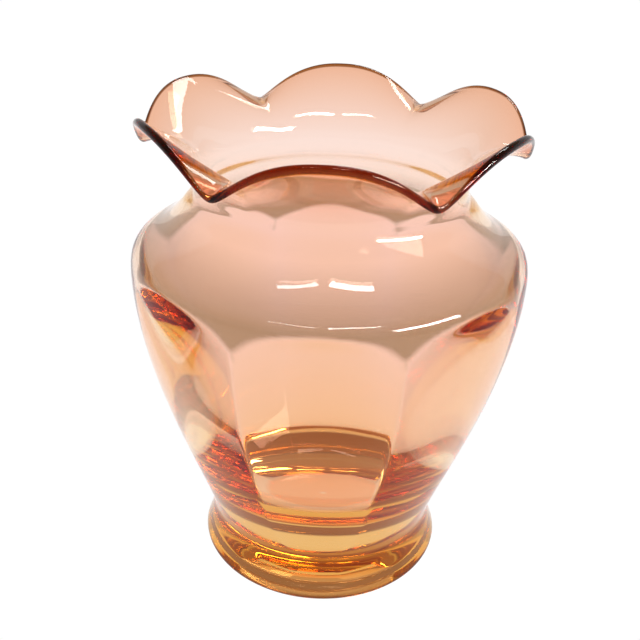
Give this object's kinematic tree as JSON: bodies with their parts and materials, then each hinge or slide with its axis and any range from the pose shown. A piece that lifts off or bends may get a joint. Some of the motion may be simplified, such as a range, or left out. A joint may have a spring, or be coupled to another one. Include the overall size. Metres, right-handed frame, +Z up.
{
  "type": "ruffled glass vase",
  "caption": "Urn-shaped vase of clear peach-pink pressed glass with flat panels inside, a high shoulder, a short neck, a flared crimped rim and a low solid foot.",
  "frame": {"origin": "centre of the foot's flat ring, on the table", "axes": "+Z up along the vase's axis; -Y through the middle of one rim lobe, the front; +X to the right of it"},
  "size_m": [0.121, 0.121, 0.15],
  "materials": {
    "foot_glass": "clear peach-pink glass, thick and deep in colour",
    "base_glass": "clear peach-pink glass, thick and deep in colour",
    "body_glass": "clear peach-pink glass, fire-polished outside",
    "shoulder_glass": "clear peach-pink glass, fire-polished outside",
    "neck_glass": "clear peach-pink glass, fire-polished outside",
    "rim_glass": "clear peach-pink glass with a rounded, fire-polished edge"
  },
  "bodies": {
    "root": {"foot": "foot_glass", "base": "base_glass", "body": "body_glass", "shoulder": "shoulder_glass", "neck": "neck_glass", "rim": "rim_glass"}
  },
  "joints": []
}
